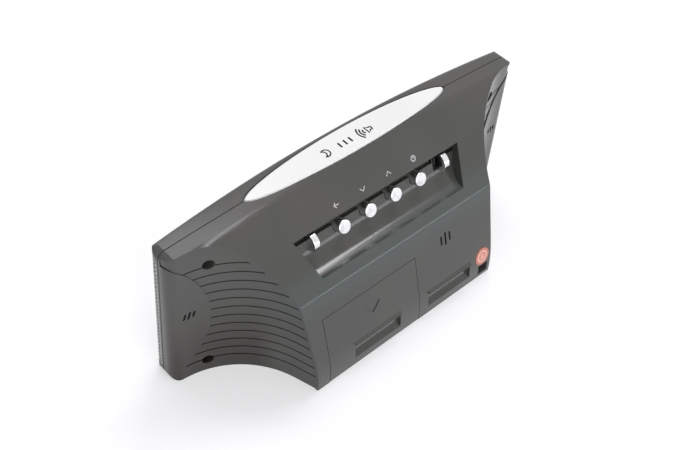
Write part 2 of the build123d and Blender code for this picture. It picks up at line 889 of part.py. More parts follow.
with BuildPart() as lens_recess:
    add(window_opening)
    add(front_under_lens, mode=Mode.SUBTRACT)

with BuildPart() as front_housing:
    add(front_outer.part)
    add(front_inside, mode=Mode.SUBTRACT)
    add(front_ribs.part)
    add(lens_recess.part, mode=Mode.SUBTRACT)
    add(window_sight, mode=Mode.SUBTRACT)
    add(grille_zone.part, mode=Mode.SUBTRACT)
    add(snooze_opening.part, mode=Mode.SUBTRACT)
    with BuildSketch(front.offset(speaker_front)):
        with Locations((speaker_place, display_middle)):
            SlotOverall(sound_opening_height, sound_opening_width, rotation=90)
    extrude(amount=front_depth, mode=Mode.SUBTRACT)
    with BuildSketch(front):
        with Locations(*screw_spots):
            Circle(screw_radius + bore_clearance)
    extrude(amount=screw_reach + slip, mode=Mode.SUBTRACT)
    with BuildSketch(front.offset(-frame_back)):
        with Locations(*board_posts):
            Circle(board_screw_radius + bore_clearance)
    extrude(amount=board_screw_bite + slip, mode=Mode.SUBTRACT)
front_housing.part.label = "front_housing"
export_step(front_housing.part, "parts/front_housing.step")

# Perforated sheet over each front corner
for label, hand in (("left_grille", 1), ("right_grille", -1)):
    corner_x = half_width - front_corner_round
    corner_y = front_at(half_width - front_corner_round, 0) + front_corner_round
    grille_middle = (grille_low + grille_high) / 2
    with BuildPart() as grille:
        with BuildSketch(front.offset(grille_edge + slip)):
            with Locations((hand * (grille_inner + slip + grille_outer_x) / 2, grille_middle)):
                Rectangle(grille_outer_x - grille_inner - slip, grille_high - grille_low - 2 * slip)
        extrude(amount=front_depth + cut_over)
        add(front_outer.part, mode=Mode.INTERSECT)
        add(front_under_grille, mode=Mode.SUBTRACT)
        with BuildSketch(front.offset(grille_edge)):
            span = (grille_front_columns - 1) * grille_pitch
            with Locations((hand * (grille_first_column + span / 2), grille_middle)):
                with GridLocations(grille_pitch, grille_pitch, grille_front_columns, grille_rows):
                    Rectangle(grille_hole, grille_hole)
        extrude(amount=front_depth + cut_over, mode=Mode.SUBTRACT)
        for step in range(grille_corner_columns):
            angle = 90 - (step + 0.5) * grille_pitch / front_corner_round / radians(1)
            outward = (hand * cos(radians(angle)), -sin(radians(angle)), 0)
            hole_plane = Plane(
                origin=(hand * corner_x, parting_y + corner_y, grille_middle), x_dir=(0, 0, 1), z_dir=outward
            )
            with BuildSketch(hole_plane.offset(front_corner_round / 2)):
                with GridLocations(grille_pitch, grille_pitch, grille_rows, 1):
                    Rectangle(grille_hole, grille_hole)
            extrude(amount=front_corner_round, mode=Mode.SUBTRACT)
    grille.part.label = label
    export_step(grille.part, f"parts/{label}.step")

# Clear window over the display
lens_block = window_block(slip)
lens_front = front_block(lens_sink, wall)
with BuildPart() as display_window:
    add(lens_block)
    add(lens_front, mode=Mode.INTERSECT)
    add(front_under_lens, mode=Mode.SUBTRACT)
display_window.part.label = "display_window"
export_step(display_window.part, "parts/display_window.step")

# Display: a frame that holds the light panel and the glass, with the digits on the glass
pocket_depth = backlight_thickness + glass_thickness + 2 * slip
glass_front = pocket_depth - frame_back - slip
with BuildPart() as display_frame:
    with BuildSketch(front.offset(-frame_back)):
        with Locations((0, display_middle)):
            Rectangle(glass_width + 2 * (slip + frame_wall), glass_height + 2 * (slip + frame_wall))
    extrude(amount=pocket_depth + frame_lip)
    fillet(display_frame.edges().filter_by(Axis.Y), radius=frame_wall / 2)
    with BuildSketch(front.offset(-frame_back)):
        with Locations((0, display_middle)):
            Rectangle(glass_width + 2 * slip, glass_height + 2 * slip)
    extrude(amount=pocket_depth, mode=Mode.SUBTRACT)
    with BuildSketch(front.offset(-frame_back)):
        with Locations((0, display_middle)):
            Rectangle(glass_width - 2 * frame_view_margin, glass_height - 2 * frame_view_margin)
    extrude(amount=pocket_depth + frame_lip, mode=Mode.SUBTRACT)
display_frame.part.label = "display_frame"
export_step(display_frame.part, "parts/display_frame.step")

with BuildPart() as backlight_panel:
    with BuildSketch(front.offset(slip - frame_back)):
        with Locations((0, display_middle)):
            Rectangle(glass_width, glass_height)
    extrude(amount=backlight_thickness)
backlight_panel.part.label = "backlight_panel"
export_step(backlight_panel.part, "parts/backlight_panel.step")

with BuildPart() as display_glass:
    with BuildSketch(front.offset(glass_front - glass_thickness)):
        with Locations((0, display_middle)):
            Rectangle(glass_width, glass_height)
    extrude(amount=glass_thickness)
display_glass.part.label = "display_glass"
export_step(display_glass.part, "parts/display_glass.step")

# Seven-bar digits; each bar is named by its place: top, sides, middle and bottom
bar_reach = digit_width - digit_stroke
bar_places = {
    "top": (0, 1, 0),
    "middle": (0, 0, 0),
    "bottom": (0, -1, 0),
    "upper_left": (-1, 0.5, 90),
    "upper_right": (1, 0.5, 90),
    "lower_left": (-1, -0.5, 90),
    "lower_right": (1, -0.5, 90),
}
right_side = ("upper_right", "lower_right")
all_round = ("top", "bottom", "upper_left", "lower_left") + right_side
shown_bars = (right_side, all_round, all_round, all_round + ("middle",))
upright_reach = (digit_height - digit_stroke) / 2
digit_steps = (-1.5, -0.5, 0.5, 1.5)
with BuildPart() as display_digits:
    with BuildSketch(front.offset(glass_front)):
        for step, bars in zip(digit_steps, shown_bars):
            middle_x = step * digit_pitch + (colon_gap / 2 if step > 0 else -colon_gap / 2)
            for bar in bars:
                across, up, turn = bar_places[bar]
                reach = upright_reach if turn else bar_reach
                half_bar = (reach - digit_gap) / 2
                half_stroke = digit_stroke / 2
                place = (middle_x + across * bar_reach / 2, display_middle + up * upright_reach)
                with Locations(Location(place, turn)):
                    Polygon(
                        (-half_bar, 0),
                        (half_stroke - half_bar, -half_stroke),
                        (half_bar - half_stroke, -half_stroke),
                        (half_bar, 0),
                        (half_bar - half_stroke, half_stroke),
                        (half_stroke - half_bar, half_stroke),
                        align=None,
                    )
        with Locations((0, display_middle + upright_reach / 2), (0, display_middle - upright_reach / 2)):
            Circle(digit_stroke / 2)
    extrude(amount=digit_thickness)
display_digits.part.label = "display_digits"
export_step(display_digits.part, "parts/display_digits.step")

# Main board behind the display, with its processor, its speech chip and a clock crystal
with BuildPart() as main_board:
    with BuildSketch(front.offset(-frame_back)):
        with Locations((0, (board_low + board_high) / 2)):
            RectangleRounded(2 * board_half, board_high - board_low, board_post_radius)
        with Locations(*board_posts):
            Circle(board_screw_radius + slip, mode=Mode.SUBTRACT)
    extrude(amount=-board_thickness)
    with BuildSketch(front.offset(-frame_back - board_thickness)):
        with Locations((-chip_place, display_middle)):
            Rectangle(chip_size, chip_size)
    extrude(amount=-chip_thickness)
    crystal_plane = Plane(
        origin=(0, parting_y + frame_back + board_thickness + crystal_radius, board_low + crystal_length),
        x_dir=(1, 0, 0),
        z_dir=(0, 0, 1),
    )
    with BuildSketch(crystal_plane):
        Circle(crystal_radius)
        Rectangle(crystal_radius, 2 * crystal_radius, align=(Align.CENTER, Align.MAX))
    extrude(amount=crystal_length)
main_board.part.label = "main_board"
export_step(main_board.part, "parts/main_board.step")

with BuildPart() as voice_chip:
    with BuildSketch(front.offset(-frame_back - board_thickness - chip_lead)):
        with Locations((chip_place, display_middle)):
            Rectangle(chip_size, chip_size)
    extrude(amount=-chip_thickness)
    chamfer(voice_chip.faces().sort_by(Axis.Y)[-1].edges(), length=chip_lead)
    with BuildSketch(front.offset(-frame_back - board_thickness)):
        with Locations((chip_place, display_middle)):
            with GridLocations(chip_size, chip_lead_pitch, 2, chip_leads):
                Rectangle(chip_lead_reach, chip_lead_width)
    extrude(amount=-chip_thickness / 2)
voice_chip.part.label = "voice_chip"
export_step(voice_chip.part, "parts/voice_chip.step")

# Speaker behind the grille at the +X end
basket_outer_height = speaker_height - 2 * speaker_rim_width
basket_outer_width = speaker_width - 2 * speaker_rim_width
basket_shrink = basket_depth * tan(radians(basket_taper))
rim_back = speaker_front - speaker_rim
basket_back = rim_back - basket_depth
with BuildPart() as speaker_frame:
    with BuildSketch(front.offset(rim_back)):
        with Locations((speaker_place, display_middle)):
            SlotOverall(speaker_height, speaker_width, rotation=90)
    extrude(amount=speaker_rim)
    for grow, mode in ((basket_wall, Mode.ADD), (0, Mode.SUBTRACT)):
        lift = 0 if mode == Mode.ADD else basket_wall
        with BuildSketch(front.offset(basket_back + lift)):
            with Locations((speaker_place, display_middle)):
                SlotOverall(
                    basket_outer_height - 2 * (basket_shrink - grow),
                    basket_outer_width - 2 * (basket_shrink - grow),
                    rotation=90,
                )
        with BuildSketch(front.offset(rim_back)):
            with Locations((speaker_place, display_middle)):
                SlotOverall(basket_outer_height + 2 * grow, basket_outer_width + 2 * grow, rotation=90)
        loft(ruled=True, mode=mode)
    with BuildSketch(front.offset(rim_back)):
        with Locations((speaker_place, display_middle)):
            SlotOverall(basket_outer_height, basket_outer_width, rotation=90)
    extrude(amount=speaker_rim, mode=Mode.SUBTRACT)
speaker_frame.part.label = "speaker_frame"
export_step(speaker_frame.part, "parts/speaker_frame.step")

cone_back = basket_back + basket_wall + slip
with BuildPart() as cone_cap:
    with BuildSketch(front.offset(cone_back)):
        with Locations((speaker_place, display_middle)):
            Circle(cone_cap_radius)
    extrude(amount=2 * cone_thickness)
    chamfer(cone_cap.edges().sort_by(Axis.Y)[0], length=cone_thickness)

with BuildPart() as speaker_cone:
    for lift, mode in ((0, Mode.ADD), (cone_thickness, Mode.SUBTRACT)):
        with BuildSketch(front.offset(cone_back + lift)):
            with Locations((speaker_place, display_middle)):
                SlotOverall(basket_outer_height / 2, basket_outer_width / 2, rotation=90)
        with BuildSketch(front.offset(rim_back + lift)):
            with Locations((speaker_place, display_middle)):
                SlotOverall(
                    basket_outer_height - 2 * (slip + lift), basket_outer_width - 2 * (slip + lift), rotation=90
                )
        loft(ruled=True, mode=mode)
    add(cone_cap.part)
speaker_cone.part.label = "speaker_cone"
export_step(speaker_cone.part, "parts/speaker_cone.step")

with BuildPart() as speaker_magnet:
    with BuildSketch(front.offset(basket_back)):
        with Locations((speaker_place, display_middle)):
            Circle(magnet_radius)
    extrude(amount=-magnet_height)
    chamfer(speaker_magnet.faces().sort_by(Axis.Y)[-1].edges(), length=chip_lead)
speaker_magnet.part.label = "speaker_magnet"
export_step(speaker_magnet.part, "parts/speaker_magnet.step")

# Snooze bar: an ellipse crowned more than the casing, with a flange at its tips that keeps it in
bar_top = total_height + bar_rise
tip_top = top_at(bar_half_length)
under_top = bar_top - bar_thickness - bar_flange
under_tip = tip_top - bar_thickness - bar_flange
inner_radius = crown_radius - wall - bar_rest_gap
inner_centre = total_height - crown_radius
flange_half = bar_half_length + bar_flange_reach


def crowned_block(half, low_tip, low_top, high_tip, high_top):
    # A bar seen from the front between two arcs, run through the casing from front to back
    with BuildPart() as block:
        with BuildSketch(front):
            with BuildLine():
                ThreePointArc((-half, low_tip), (0, low_top), (half, low_tip))
                Line((half, low_tip), (half, high_tip))
                ThreePointArc((half, high_tip), (0, high_top), (-half, high_tip))
                Line((-half, high_tip), (-half, low_tip))
            make_face()
        extrude(amount=width / 2, both=True)
    return block.part


flange_tip_top = inner_centre + sqrt(inner_radius**2 - flange_half**2)
bar_block = crowned_block(bar_half_length, under_tip, under_top, tip_top, bar_top)
flange_block = crowned_block(
    flange_half, flange_tip_top - bar_flange, total_height - wall - bar_rest_gap - bar_flange,
    flange_tip_top, total_height - wall - bar_rest_gap,
)
with BuildPart() as bar_flange_ring:
    with BuildSketch(plan):
        Ellipse(flange_half, bar_half_width + bar_flange_reach)
        Rectangle(2 * flange_half, bar_flange_width, mode=Mode.INTERSECT)
    extrude(amount=bar_top)
    add(flange_block, mode=Mode.INTERSECT)

switch_top = snooze_board_top + switch_height + switch_plunger
with BuildPart() as snooze_bar:
    with BuildSketch(plan):
        Ellipse(bar_half_length, bar_half_width)
    extrude(amount=bar_top + cut_over)
    add(bar_block, mode=Mode.INTERSECT)
    chamfer(snooze_bar.edges().group_by(SortBy.LENGTH)[-1].sort_by(Axis.Z)[-1], length=bar_edge_round)
    add(bar_flange_ring.part)
    with BuildSketch(plan.offset(switch_top + bar_travel + switch_spare)):
        with Locations((-plunger_place, plunger_depth), (plunger_place, plunger_depth)):
            Circle(plunger_radius)
    extrude(until=Until.NEXT)
snooze_bar.part.label = "snooze_bar"
export_step(snooze_bar.part, "parts/snooze_bar.step")

with BuildPart() as snooze_board:
    with BuildSketch(plan.offset(snooze_board_top - board_thickness)):
        with Locations((0, snooze_board_front + snooze_board_depth / 2)):
            RectangleRounded(2 * snooze_board_half, snooze_board_depth, slip)
        with Locations(*snooze_posts):
            Circle(board_screw_radius + slip, mode=Mode.SUBTRACT)
    extrude(amount=board_thickness)
snooze_board.part.label = "snooze_board"
export_step(snooze_board.part, "parts/snooze_board.step")

with BuildPart() as key_board:
    with BuildSketch(channel_plane.offset(-board_drop - board_thickness)):
        with Locations((0, (key_board_down - key_board_up) / 2)):
            RectangleRounded(2 * key_board_half, key_board_up + key_board_down, slip)
        with Locations(*key_posts):
            Circle(board_screw_radius + slip, mode=Mode.SUBTRACT)
    extrude(amount=board_thickness)
key_board.part.label = "key_board"
export_step(key_board.part, "parts/key_board.step")


def tact_switches(plane, places):
    # Small push switches: a square body with a round plunger
    with BuildPart() as switches:
        with BuildSketch(plane):
            with Locations(*places):
                Rectangle(switch_size, switch_size)
        extrude(amount=switch_height)
        with BuildSketch(plane.offset(switch_height)):
            with Locations(*places):
                Circle(switch_plunger_radius)
        extrude(amount=switch_plunger)
    return switches.part


for label, plane, places in (
    ("key_switches", channel_plane.offset(-board_drop), key_places),
    (
        "snooze_switches",
        plan.offset(snooze_board_top),
        [(-plunger_place, plunger_depth), (plunger_place, plunger_depth)],
    ),
):
    shape = tact_switches(plane, places)
    shape.label = label
    export_step(shape, f"parts/{label}.step")

with BuildPart() as slide_switch_bodies:
    with BuildSketch(channel_plane.offset(-board_drop)):
        with Locations((slot_middle, key_row), (-slot_middle, key_row)):
            Rectangle(slide_body_length, slide_body_width)
    extrude(amount=slide_body_height)
    with BuildSketch(channel_plane.offset(slide_body_height - board_drop)):
        with Locations((slot_middle, key_row), (-slot_middle, key_row)):
            Rectangle(slide_peg_width + slide_travel + 4 * slip, slide_peg_length + 4 * slip)
    extrude(amount=-slide_trough, mode=Mode.SUBTRACT)
slide_switch_bodies.part.label = "slide_switch_bodies"
export_step(slide_switch_bodies.part, "parts/slide_switch_bodies.step")

# Four round keys, each with a flange under the channel floor and a stem over its switch
flange_top = -channel_under - rest_gap
stem_end = switch_height + switch_plunger + key_travel + switch_spare - board_drop
for label, place in zip(key_names, key_places):
    with BuildPart() as key:
        with BuildSketch(channel_plane.offset(flange_top)):
            with Locations(place):
                Circle(key_radius)
        extrude(amount=key_height - flange_top)
        fillet(key.edges().group_by(Axis.Y)[-1], radius=key_edge_round)
        with BuildSketch(channel_plane.offset(flange_top)):
            with Locations(place):
                Circle(key_flange_radius)
        extrude(amount=-key_flange)
        with BuildSketch(channel_plane.offset(flange_top - key_flange)):
            with Locations(place):
                Circle(key_stem_radius)
        extrude(amount=stem_end - flange_top + key_flange)
    key.part.label = label
    export_step(key.part, f"parts/{label}.step")

# Two slide knobs: a rounded cap, a stem in its slot, a flange under the floor and a peg in the switch
peg_end = slide_body_height - slide_peg_bite - board_drop
knob_start = slide_row - slide_length / 2
knob_end = slide_row + slide_length / 2
for label, hand in (("left_slide_knob", 1), ("right_slide_knob", -1)):
    place = (hand * slide_place, key_row)
    with BuildPart() as knob:
        with BuildSketch(side.offset(hand * slide_place)):
            with BuildLine():
                Polyline(
                    on_floor(knob_start, slide_end_height),
                    on_floor(knob_start, rest_gap),
                    on_floor(knob_end, rest_gap),
                    on_floor(knob_end, slide_end_height),
                )
                ThreePointArc(
                    on_floor(knob_end, slide_end_height),
                    on_floor(slide_row, slide_height),
                    on_floor(knob_start, slide_end_height),
                )
            make_face()
        extrude(amount=slide_width / 2, both=True)
        fillet(knob.edges().filter_by(GeomType.CIRCLE), radius=slide_round)
        with BuildSketch(channel_plane.offset(rest_gap)):
            with Locations(place):
                Rectangle(slide_stem_width, slide_stem_length)
        extrude(amount=flange_top - rest_gap)
        with BuildSketch(channel_plane.offset(flange_top)):
            with Locations(place):
                Rectangle(slide_flange_width, slide_flange_length)
        extrude(amount=-key_flange)
        with BuildSketch(channel_plane.offset(flange_top - key_flange)):
            with Locations(place):
                Rectangle(slide_peg_width, slide_peg_length)
        extrude(amount=peg_end - flange_top + key_flange)
    knob.part.label = label
    export_step(knob.part, f"parts/{label}.step")

# Screws: those of the casing go in from the back, those of the boards from the free side of each board
with BuildPart() as housing_screw:
    Cylinder(screw_head_radius, screw_head, align=(Align.CENTER, Align.CENTER, Align.MIN))
    fillet(housing_screw.edges().sort_by(Axis.Z)[-1], radius=screw_head / 2)
    with BuildSketch(Plane.XY.offset(screw_head)):
        Rectangle(screw_slot, 2 * screw_radius)
        Rectangle(2 * screw_radius, screw_slot)
    extrude(amount=-screw_head / 2, mode=Mode.SUBTRACT)
    with BuildSketch(Plane.XY):
        Circle(screw_radius)
    extrude(amount=-(screw_web + screw_reach))

with BuildPart() as board_screw:
    Cylinder(board_screw_head_radius, board_screw_head, align=(Align.CENTER, Align.CENTER, Align.MIN))
    chamfer(board_screw.edges().sort_by(Axis.Z)[-1], length=board_screw_head / 3)
    with BuildSketch(Plane.XY):
        Circle(board_screw_radius)
    extrude(amount=-(board_thickness + board_screw_bite))


def placed_copies(shape, seats):
    # Copies of a screw, one on each seat plane
    with BuildPart() as copies:
        with Locations(*[seat.location for seat in seats]):
            add(shape)
    return copies.part


def seat_at(origin, outward):
    across = (1, 0, 0)
    return Plane(origin=origin, x_dir=across, z_dir=outward)


housing_seats = [seat_at((x, parting_y + screw_web, z), (0, 1, 0)) for x, z in screw_spots]
board_back = parting_y + frame_back + board_thickness
board_seats = [seat_at((x, board_back, z), (0, 1, 0)) for x, z in board_posts]
board_under = snooze_board_top - board_thickness
board_seats += [seat_at((x, parting_y + y, board_under), (0, 0, -1)) for x, y in snooze_posts]
key_board_under = channel_plane.offset(-board_drop - board_thickness)
for place in key_posts:
    spot = key_board_under.from_local_coords((*place, 0))
    board_seats.append(seat_at(spot, -channel_plane.z_dir))

for label, shape, seats in (
    ("housing_screws", housing_screw.part, housing_seats),
    ("board_screws", board_screw.part, board_seats),
):
    screws = placed_copies(shape, seats)
    screws.label = label
    export_step(screws, f"parts/{label}.step")

# Three cells side by side, each turned end for end from its neighbour
cell_margin = (bay_top - bay_bottom - cell_diameter - (cell_count - 1) * cell_pitch) / 2
cell_heights = [bay_bottom + cell_margin + cell_diameter / 2 + step * cell_pitch for step in range(cell_count)]
body_length = cell_length - cell_nub
with BuildPart() as battery_cell:
    with BuildSketch(Plane.YZ.offset(-cell_length / 2)):
        Circle(cell_diameter / 2)
    extrude(amount=body_length)
    chamfer(battery_cell.edges(), length=cell_edge_round)
    with BuildSketch(Plane.YZ.offset(-cell_length / 2 + body_length)):
        Circle(cell_nub_radius)
    extrude(amount=cell_nub)

nub_face = bay_length / 2 - plate_thickness - contact_gap
cell_shift = nub_face - cell_length / 2
cell_turns = [1 if step % 2 == 0 else -1 for step in range(cell_count)]
with BuildPart() as battery_cells:
    for height, hand in zip(cell_heights, cell_turns):
        turn = 0 if hand > 0 else 180
        place = (door_middle + hand * cell_shift, parting_y + cell_depth, height)
        with Locations(Location(place, (0, 0, turn))):
            add(battery_cell.part)
battery_cells.part.label = "battery_cells"
export_step(battery_cells.part, "parts/battery_cells.step")

# Contact plates: single ones at the two ends of the row of cells, double ones that join neighbours
with BuildPart() as battery_contacts:
    for hand, single in ((-1, 0), (1, cell_count - 1)):
        pair = [height for step, height in enumerate(cell_heights) if step != single]
        plate_x = door_middle + hand * (bay_length / 2 - plate_thickness)
        with BuildSketch(side.offset(plate_x)):
            with Locations((cell_depth, cell_heights[single])):
                RectangleRounded(plate_width, plate_width, plate_thickness)
            with Locations((cell_depth, sum(pair) / 2)):
                RectangleRounded(plate_width, plate_width + cell_pitch, plate_thickness)
        extrude(amount=hand * plate_thickness)
battery_contacts.part.label = "battery_contacts"
export_step(battery_contacts.part, "parts/battery_contacts.step")

# Conical springs at the flat ends of the cells
spring_room = bay_length - 2 * plate_thickness - cell_length - 3 * contact_gap
spring_rise = spring_room - spring_wire
spring_cone = -atan((spring_radius - spring_tip_radius) / spring_rise) / radians(1)
with BuildPart() as battery_spring:
    with BuildLine() as spring_line:
        Helix(
            pitch=spring_rise / spring_turns,
            height=spring_rise,
            radius=spring_radius,
            cone_angle=spring_cone,
        )
    with BuildSketch(Plane(origin=spring_line.line @ 0, z_dir=spring_line.line % 0)):
        RegularPolygon(spring_wire / 2, wire_sides)
    sweep()

with BuildPart() as battery_springs:
    for height, hand in zip(cell_heights, cell_turns):
        spring_x = door_middle - hand * (bay_length / 2 - plate_thickness - contact_gap - spring_wire / 2)
        with Locations(Location((spring_x, parting_y + cell_depth, height), (0, hand * 90, 0))):
            add(battery_spring.part)
battery_springs.part.label = "battery_springs"
export_step(battery_springs.part, "parts/battery_springs.step")

# Power socket and its centre pin
socket_plane = front.offset(-socket_face)
with BuildPart() as power_jack:
    with BuildSketch(socket_plane):
        with Locations((socket_place, socket_middle)):
            Rectangle(socket_width - 2 * slip, socket_height - 2 * slip)
    extrude(amount=socket_length)
    fillet(power_jack.edges().filter_by(Axis.Y), radius=slip)
    with BuildSketch(socket_plane):
        with Locations((socket_place, socket_middle)):
            Circle(socket_bore_radius)
    extrude(amount=socket_bore_depth, mode=Mode.SUBTRACT)
power_jack.part.label = "power_jack"
export_step(power_jack.part, "parts/power_jack.step")

with BuildPart() as jack_pin:
    with BuildSketch(socket_plane.offset(socket_bore_depth)):
        with Locations((socket_place, socket_middle)):
            Circle(pin_radius)
    extrude(amount=-pin_length)
    chamfer(jack_pin.edges().sort_by(Axis.Y)[-1], length=pin_radius / 2)
jack_pin.part.label = "jack_pin"
export_step(jack_pin.part, "parts/jack_pin.step")

# Round sticker that follows the curve of the back
with BuildPart() as round_sticker:
    with BuildSketch(side.offset(sticker_place)):
        with Locations((back_depth - back_curve_radius, 0)):
            Circle(back_curve_radius + sticker_thickness)
            Circle(back_curve_radius, mode=Mode.SUBTRACT)
    extrude(amount=sticker_radius, both=True)
    with BuildSketch(front.offset(-curve_end_depth + wall)):
        with Locations((sticker_place, sticker_height)):
            Circle(sticker_radius)
    extrude(amount=-deep, mode=Mode.INTERSECT)
round_sticker.part.label = "round_sticker"
export_step(round_sticker.part, "parts/round_sticker.step")
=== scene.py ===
import bpy
import bmesh
import math
from mathutils import Matrix, Vector


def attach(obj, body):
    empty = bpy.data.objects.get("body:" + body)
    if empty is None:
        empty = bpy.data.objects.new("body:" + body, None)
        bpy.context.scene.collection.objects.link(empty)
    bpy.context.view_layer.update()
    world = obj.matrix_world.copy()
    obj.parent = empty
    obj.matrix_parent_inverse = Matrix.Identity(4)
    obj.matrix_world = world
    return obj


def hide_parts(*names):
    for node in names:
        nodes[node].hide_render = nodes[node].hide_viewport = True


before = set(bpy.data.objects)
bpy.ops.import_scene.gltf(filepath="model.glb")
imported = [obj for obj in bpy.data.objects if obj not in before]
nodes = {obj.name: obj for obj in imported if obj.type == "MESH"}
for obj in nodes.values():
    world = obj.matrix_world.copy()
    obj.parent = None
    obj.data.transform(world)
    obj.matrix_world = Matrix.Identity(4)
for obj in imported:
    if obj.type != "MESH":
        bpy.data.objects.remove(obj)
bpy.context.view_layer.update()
print("frame loaded:", len(nodes), "nodes")

mm = 0.001
partingY = -19.55 * mm  # plane where the two halves of the casing meet
slopeAngle = math.radians(49)  # how steeply the long slope at the back falls
slopeStart = Vector((0, partingY + 10.1 * mm, 77 * mm))  # where the long slope starts


# Camera

cameraLook = {
    "place": (0.2567, 0.21435, 0.3971),
    "right": (-0.7326, 0.6758, 0.0815),
    "forward": (-0.5057, -0.4603, -0.7297),
    "lens": 58.81,
    "sensor": 36.0,
}


def makeCamera(look):
    data = bpy.data.cameras.new("camera")
    data.lens = look["lens"]
    data.sensor_width = look["sensor"]
    data.sensor_fit = "HORIZONTAL"
    camera = bpy.data.objects.new("camera", data)
    bpy.context.scene.collection.objects.link(camera)
    back = -Vector(look["forward"]).normalized()
    right = Vector(look["right"])
    right = (right - back * right.dot(back)).normalized()
    up = back.cross(right)
    turn = Matrix((right, up, back)).transposed()
    camera.matrix_world = Matrix.Translation(look["place"]) @ turn.to_4x4()
    bpy.context.scene.camera = camera


makeCamera(cameraLook)
bpy.context.scene.view_settings.view_transform = "Standard"
print("camera set")


# Materials

class Flow:
    # a shader socket that can be added, multiplied and so on
    def __init__(self, shader, socket):
        self.shader = shader
        self.socket = socket

    def combine(self, operation, first, second):
        return self.shader.node("ShaderNodeMath", {"operation": operation}, {0: first, 1: second})

    def __add__(self, other):
        return self.combine("ADD", self, other)

    def __radd__(self, other):
        return self.combine("ADD", other, self)

    def __sub__(self, other):
        return self.combine("SUBTRACT", self, other)

    def __rsub__(self, other):
        return self.combine("SUBTRACT", other, self)

    def __mul__(self, other):
        return self.combine("MULTIPLY", self, other)

    def __rmul__(self, other):
        return self.combine("MULTIPLY", other, self)

    def __truediv__(self, other):
        return self.combine("DIVIDE", self, other)

    def __rtruediv__(self, other):
        return self.combine("DIVIDE", other, self)

    def __pow__(self, other):
        return self.combine("POWER", self, other)

    def __gt__(self, other):
        return self.combine("GREATER_THAN", self, other)

    def __abs__(self):
        return self.combine("ABSOLUTE", self, 0.0)


class Shader:
    # the nodes of one material, or of the world where that is the owner
    def __init__(self, name, owner=None):
        self.material = owner or bpy.data.materials.new(name)
        self.material.use_nodes = True
        self.tree = self.material.node_tree
        self.surface = self.tree.nodes.get("Principled BSDF")

    def node(self, kind, settings, inputs, output=0):
        made = self.tree.nodes.new(kind)
        for name, value in settings.items():
            setattr(made, name, value)
        for key, value in inputs.items():
            self.feed(made.inputs[key], value)
        return Flow(self, made.outputs[output])

    def feed(self, socket, value):
        if isinstance(value, Flow):
            self.tree.links.new(value.socket, socket)
        else:
            socket.default_value = value

    def set(self, **values):
        for name, value in values.items():
            self.feed(self.surface.inputs[name.replace("_", " ")], value)
        return self.material

    def place(self):
        return self.node("ShaderNodeTexCoord", {}, {}, "Object")

    def axis(self, which):
        return self.node("ShaderNodeSeparateXYZ", {}, {0: self.place()}, which)

    def noise(self, scale, detail=3.0, rough=0.5, stretch=(1, 1, 1)):
        spot = self.node("ShaderNodeMapping", {}, {"Vector": self.place(), "Scale": stretch})
        return self.node("ShaderNodeTexNoise", {}, {"Vector": spot, "Scale": scale, "Detail": detail,
                                                    "Roughness": rough})

    def blendColours(self, factor, first, second):
        return self.node("ShaderNodeMix", {"data_type": "RGBA"}, {0: factor, 6: first, 7: second}, 2)

    def band(self, value, low, high):
        # 0 below low, 1 above high, smooth between
        return self.node("ShaderNodeMapRange", {"interpolation_type": "SMOOTHSTEP"},
                         {"Value": value, "From Min": low, "From Max": high})

    def bump(self, height, strength, distance):
        return self.node("ShaderNodeBump", {},
                         {"Height": height, "Strength": strength, "Distance": distance})


def grey(value):
    return (value, value, value, 1)


casingLook = {
    "dark": (0.061, 0.064, 0.058, 1),
    "warm": (0.074, 0.071, 0.067, 1),
    "warmth": (0.42, 0.66),  # where the drift turns from dark to warm
    "paintedFoldSheen": (0.070, 0.087, 0.086, 1),  # painted sheen: a greenish reflection at the fold between the slope and the box, painted into the colour
    "foldRise": (0.034, 0.047), "foldFall": (0.050, 0.060),  # heights where the painted sheen comes and goes
    "foldBehind": (0.026, 0.034),  # distances from the parting plane where it comes
    "foldSheenShare": 0.6,
    "low": (0.028, 0.022, 0.020, 1),  # painted shade: the lower flanks darkened towards the floor
    "footShadeFall": (0.004, 0.052),  # heights where the painted shade fades out
    "footShadeAside": (0.060, 0.068),  # distances from the middle where it comes
    "footShadeShare": 0.9,
    "roughness": 0.17,
    "grain": 900.0,
    "grainDepth": 0.000012,
}


def makeCasing(look):
    shader = Shader("gunmetalPlastic")
    height = shader.axis(2)
    warmth = shader.band(shader.noise(14.0, 2.0), *look["warmth"])
    body = shader.blendColours(warmth, look["dark"], look["warm"])
    # painted sheen: a greenish reflection painted along the fold above the box
    nearFold = shader.band(height, *look["foldRise"]) * (1 - shader.band(height, *look["foldFall"]))
    behind = shader.band(shader.axis(1), *[partingY + back for back in look["foldBehind"]])
    withFoldSheen = shader.blendColours(nearFold * behind * look["foldSheenShare"], body, look["paintedFoldSheen"])
    # painted shade: the flanks darken towards the floor
    aside = shader.band(abs(shader.axis(0)), *look["footShadeAside"])
    footShade = (1 - shader.band(height, *look["footShadeFall"])) * aside
    colour = shader.blendColours(footShade * look["footShadeShare"], withFoldSheen, look["low"])
    flow = shader.noise(60.0, 3.0, 0.5, (1, 1, 4))
    grain = shader.noise(look["grain"], 2.0)
    return shader.set(
        Base_Color=colour,
        Roughness=look["roughness"] + (flow - 0.5) * 0.10,
        Normal=shader.bump(grain, 0.25, look["grainDepth"]),
        Specular_IOR_Level=0.42,
        Coat_Weight=0.06,
        Coat_Roughness=0.12,
    )


snoozeLook = {"colour": (0.84, 0.845, 0.84, 1), "shade": (0.81, 0.815, 0.81, 1), "roughness": 0.24}


def makeSnoozeWhite(look):
    shader = Shader("snoozeWhite")
    drift = shader.band(shader.noise(25.0, 2.0), 0.35, 0.7)
    return shader.set(
        Base_Color=shader.blendColours(drift, look["colour"], look["shade"]),
        Roughness=look["roughness"] + (shader.noise(300.0) - 0.5) * 0.06,
        Normal=shader.bump(shader.noise(700.0, 2.0), 0.15, 0.00001),
        Coat_Weight=0.3,
        Coat_Roughness=0.08,
    )


